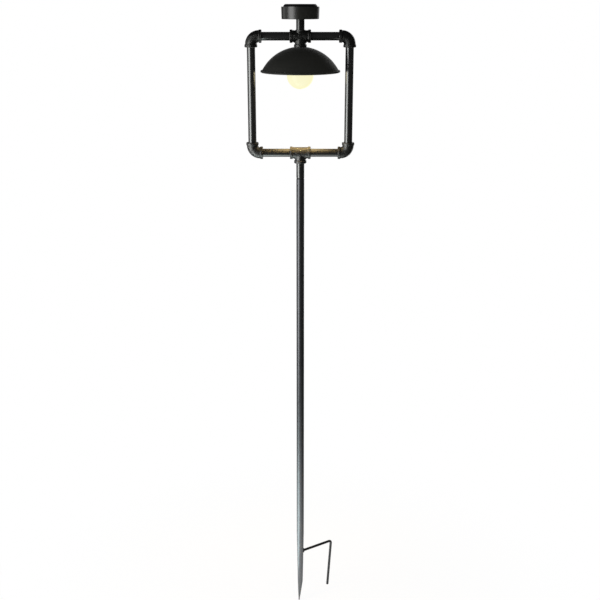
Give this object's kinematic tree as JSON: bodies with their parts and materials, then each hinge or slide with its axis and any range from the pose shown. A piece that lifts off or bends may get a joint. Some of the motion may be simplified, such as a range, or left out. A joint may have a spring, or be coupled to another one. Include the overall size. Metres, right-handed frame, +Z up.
{
  "type": "solar garden stake lamp",
  "caption": "Solar garden stake lamp: a rectangular frame of threaded pipe holds a domed shade with a globe lamp, a round solar cap sits on top, and a long pole has a spike and foot step.",
  "frame": {"origin": "on the pole's axis at ground level, at the underside of the foot step's arm", "axes": "+Z up along the pole, +X to the right in the frame's plane, front faces -Y"},
  "size_m": [0.23, 0.166, 1.4325],
  "materials": {
    "pole_paint": "semi-gloss paint",
    "step_paint": "semi-gloss paint",
    "pipe_paint": "semi-gloss paint",
    "cast_fitting": "painted casting",
    "spigot_plastic": "moulded",
    "cap_plastic": "satin moulded",
    "lid_plastic": "satin moulded",
    "seal_rubber": "soft",
    "screw_steel": "plated",
    "panel_board": "laminate",
    "solar_silicon": "coated silicon",
    "window_clear": "clear",
    "board_laminate": "laminate",
    "part_black": "moulded",
    "knob_plastic": "moulded",
    "cell_wrap": "shrink wrap",
    "contact_nickel": "nickel plated",
    "tray_plastic": "moulded",
    "lead_red": "soft",
    "lead_black": "soft",
    "brass_parts": "turned",
    "shade_coat": "matte powder coat",
    "holder_plastic": "moulded phenolic",
    "holder_board": "moulded",
    "base_metal": "rolled",
    "base_glass": "vitrified",
    "tip_solder": "soldered",
    "globe_glass": "warm white",
    "mount_glass": "clear",
    "filament_glow": "lit"
  },
  "bodies": {
    "pole": {"ground_pole": "pole_paint", "foot_step": "step_paint"},
    "spigot": {"pole_spigot": "spigot_plastic"},
    "head": {"pole_stub": "pipe_paint", "lower_tee": "cast_fitting", "lower_bar_left": "pipe_paint", "lower_bar_right": "pipe_paint", "lower_elbow_left": "cast_fitting", "lower_elbow_right": "cast_fitting", "upright_left": "pipe_paint", "upright_right": "pipe_paint", "upper_elbow_left": "cast_fitting", "upper_elbow_right": "cast_fitting", "upper_bar_left": "pipe_paint", "upper_bar_right": "pipe_paint", "upper_tee": "cast_fitting", "cap_stem": "pipe_paint", "cap_housing": "cap_plastic", "cap_lid": "lid_plastic", "lid_seal": "seal_rubber", "lid_screws": "screw_steel", "solar_panel": "panel_board", "solar_cells": "solar_silicon", "panel_window": "window_clear", "circuit_board": "board_laminate", "board_screws": "screw_steel", "control_chip": "part_black", "boost_coil": "part_black", "switch_case": "part_black", "battery_cell": "cell_wrap", "battery_contacts": "contact_nickel", "battery_tray": "tray_plastic", "lamp_lead_red": "lead_red", "lamp_lead_black": "lead_black", "branch_bush": "cast_fitting", "lamp_nipple": "brass_parts", "lamp_shade": "shade_coat", "lamp_holder": "holder_plastic", "holder_insulator": "holder_board", "holder_screw_shell": "brass_parts", "holder_contact": "brass_parts"},
    "switch": {"switch_knob": "knob_plastic"},
    "lamp_tip": {"lamp_tip_contact": "tip_solder"},
    "lamp": {"lamp_base": "base_metal", "lamp_insulator": "base_glass", "lamp_globe": "globe_glass", "lamp_stem": "mount_glass", "lamp_filaments": "filament_glow"}
  },
  "joints": [
    {"name": "spigot_lift", "type": "slide", "parent": "pole", "child": "spigot", "axis": [0, 0, 1], "range_m": [0, 0.042]},
    {"name": "head_turn", "type": "hinge", "parent": "spigot", "child": "head", "pos_m": [0, 0, 0.9385], "axis": [0, 0, 1], "continuous": true},
    {"name": "switch_slide", "type": "slide", "parent": "head", "child": "switch", "axis": [-1, 0, 0], "range_m": [0, 0.004]},
    {"name": "lamp_travel", "type": "slide", "parent": "head", "child": "lamp_tip", "axis": [0, 0, -1], "range_m": [0, 0.01816]},
    {"name": "lamp_turn", "type": "hinge", "parent": "lamp_tip", "child": "lamp", "pos_m": [0, 0, 1.1964], "axis": [0, 0, -1], "range_deg": [0, 1800]}
  ],
  "couplings": [
    {"joint": "lamp_travel", "follows": "lamp_turn", "m_per_rad": 0.00057757}
  ]
}
